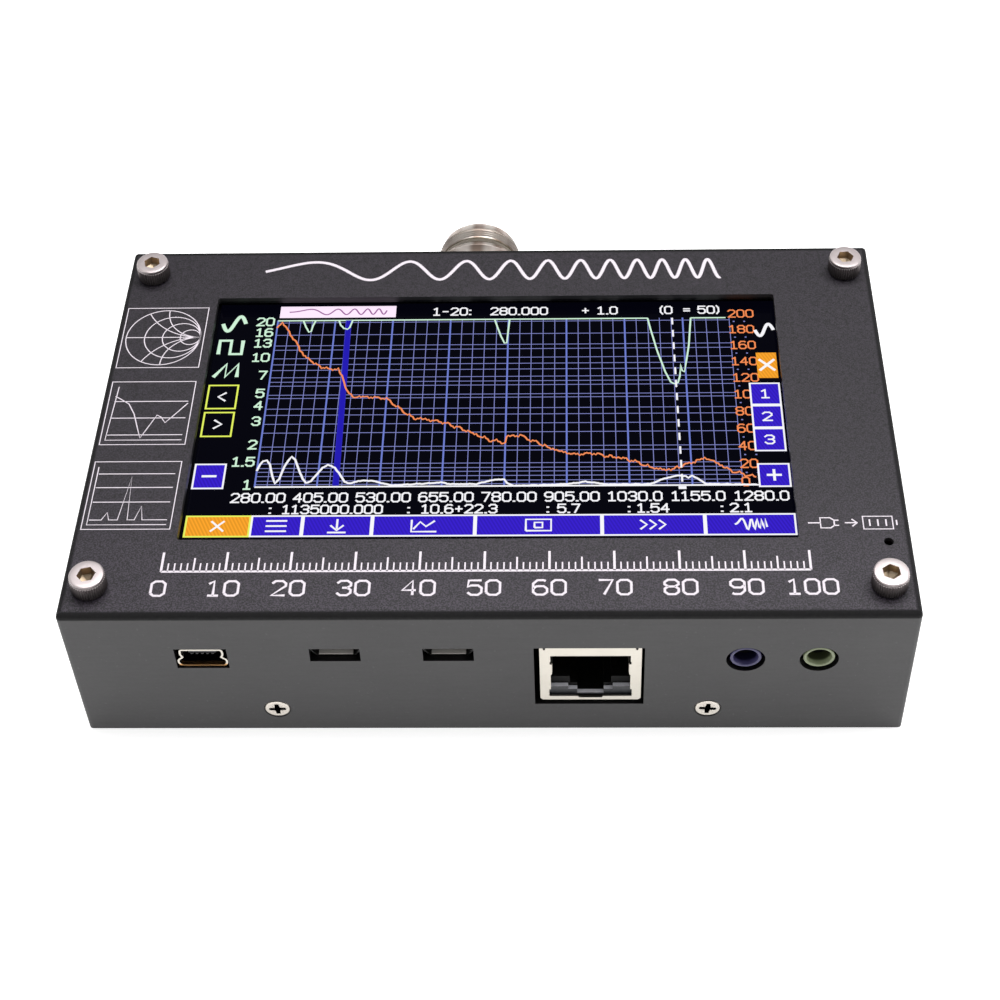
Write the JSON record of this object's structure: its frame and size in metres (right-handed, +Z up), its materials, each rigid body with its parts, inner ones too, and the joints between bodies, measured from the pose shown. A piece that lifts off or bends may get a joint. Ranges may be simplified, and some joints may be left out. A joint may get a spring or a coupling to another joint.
{
  "type": "antenna analyzer",
  "caption": "Battery-powered antenna analyzer in a flat black sheet-metal case with a touch display on top, sockets along the front wall and a threaded coaxial antenna jack at the back.",
  "frame": {"origin": "on the resting face, below the middle of the case", "axes": "+X along the case's width to the right as seen from the socket side, +Y towards the antenna jack, +Z up through the display"},
  "size_m": [0.1284, 0.0948, 0.0325],
  "materials": {
    "case_black": "fine matt black powder coat with a purple-grey cast",
    "screw_steel": "plain steel, knurled heads",
    "nickel": "warm nickel plate",
    "brass": "plain brass, gold flash on the contacts",
    "board_green": "green solder mask",
    "board_blue": "blue solder mask",
    "touch_glass": "resistive touch film over a lit display",
    "display_glass": "dark display cell",
    "backlight": "white light guide in a thin frame",
    "plastic_black": "black moulded plastic",
    "button_blue": "blue moulded plastic",
    "jack_blue": "dark blue moulded plastic",
    "jack_green": "olive green moulded plastic",
    "light_red": "clear tinted lens",
    "insulator": "white fluoropolymer",
    "battery_wrap": "silvery pouch film",
    "lead_red": "red insulated wire"
  },
  "bodies": {
    "case": {"cover": "case_black", "base": "case_black", "cover_screw_front_left": "screw_steel", "cover_screw_front_right": "screw_steel", "cover_screw_rear_left": "screw_steel", "cover_screw_rear_right": "screw_steel", "base_screw_front_left": "nickel", "base_screw_front_right": "nickel", "base_screw_rear_left": "nickel", "base_screw_rear_right": "nickel", "spacer_front_left": "nickel", "spacer_front_right": "nickel", "spacer_rear_left": "nickel", "spacer_rear_right": "nickel", "board_nut_front_left": "nickel", "board_nut_front_right": "nickel", "board_pillar_rear_left": "brass", "board_pillar_rear_right": "brass", "radio_board_screw_left": "screw_steel", "radio_board_screw_right": "screw_steel", "main_board": "board_green", "display_backlight": "backlight", "display_panel": "display_glass", "touch_panel": "touch_glass", "processor_chip": "plastic_black", "charge_light": "light_red", "reset_switch": "plastic_black", "user_switch": "plastic_black", "header_socket_left": "plastic_black", "header_socket_right": "plastic_black", "header_pins_left": "plastic_black", "header_pins_right": "plastic_black", "mini_usb_shell": "nickel", "mini_usb_tongue": "plastic_black", "micro_usb_shell_left": "nickel", "micro_usb_shell_right": "nickel", "micro_usb_tongue_left": "plastic_black", "micro_usb_tongue_right": "plastic_black", "network_socket_shield": "nickel", "network_socket_insert": "plastic_black", "network_socket_contacts": "brass", "audio_jack_blue": "jack_blue", "audio_jack_green": "jack_green", "radio_board": "board_blue", "radio_shield_can": "nickel", "radio_chip": "plastic_black", "antenna_jack_body": "nickel", "antenna_jack_insulator": "insulator", "antenna_jack_contact": "brass", "antenna_jack_washer": "nickel", "antenna_jack_nut": "nickel", "battery": "battery_wrap", "battery_lead": "lead_red", "charger_board": "board_blue", "charger_socket": "nickel", "power_switch_housing": "plastic_black"},
    "power_rocker": {"power_switch_rocker": "plastic_black"},
    "reset_plunger": {"reset_button": "plastic_black"},
    "user_plunger": {"user_button": "button_blue"}
  },
  "joints": [
    {"name": "power_switch", "type": "hinge", "parent": "case", "child": "power_rocker", "pos_m": [0.04795, 0.0375, 0.007], "axis": [0, 0, 1], "range_deg": [0, 20]},
    {"name": "reset_push", "type": "slide", "parent": "case", "child": "reset_plunger", "axis": [0, 0, 1], "range_m": [0, 0.00025], "stiffness_N_per_m": 1200},
    {"name": "user_push", "type": "slide", "parent": "case", "child": "user_plunger", "axis": [0, 0, 1], "range_m": [0, 0.00025], "stiffness_N_per_m": 1200}
  ]
}
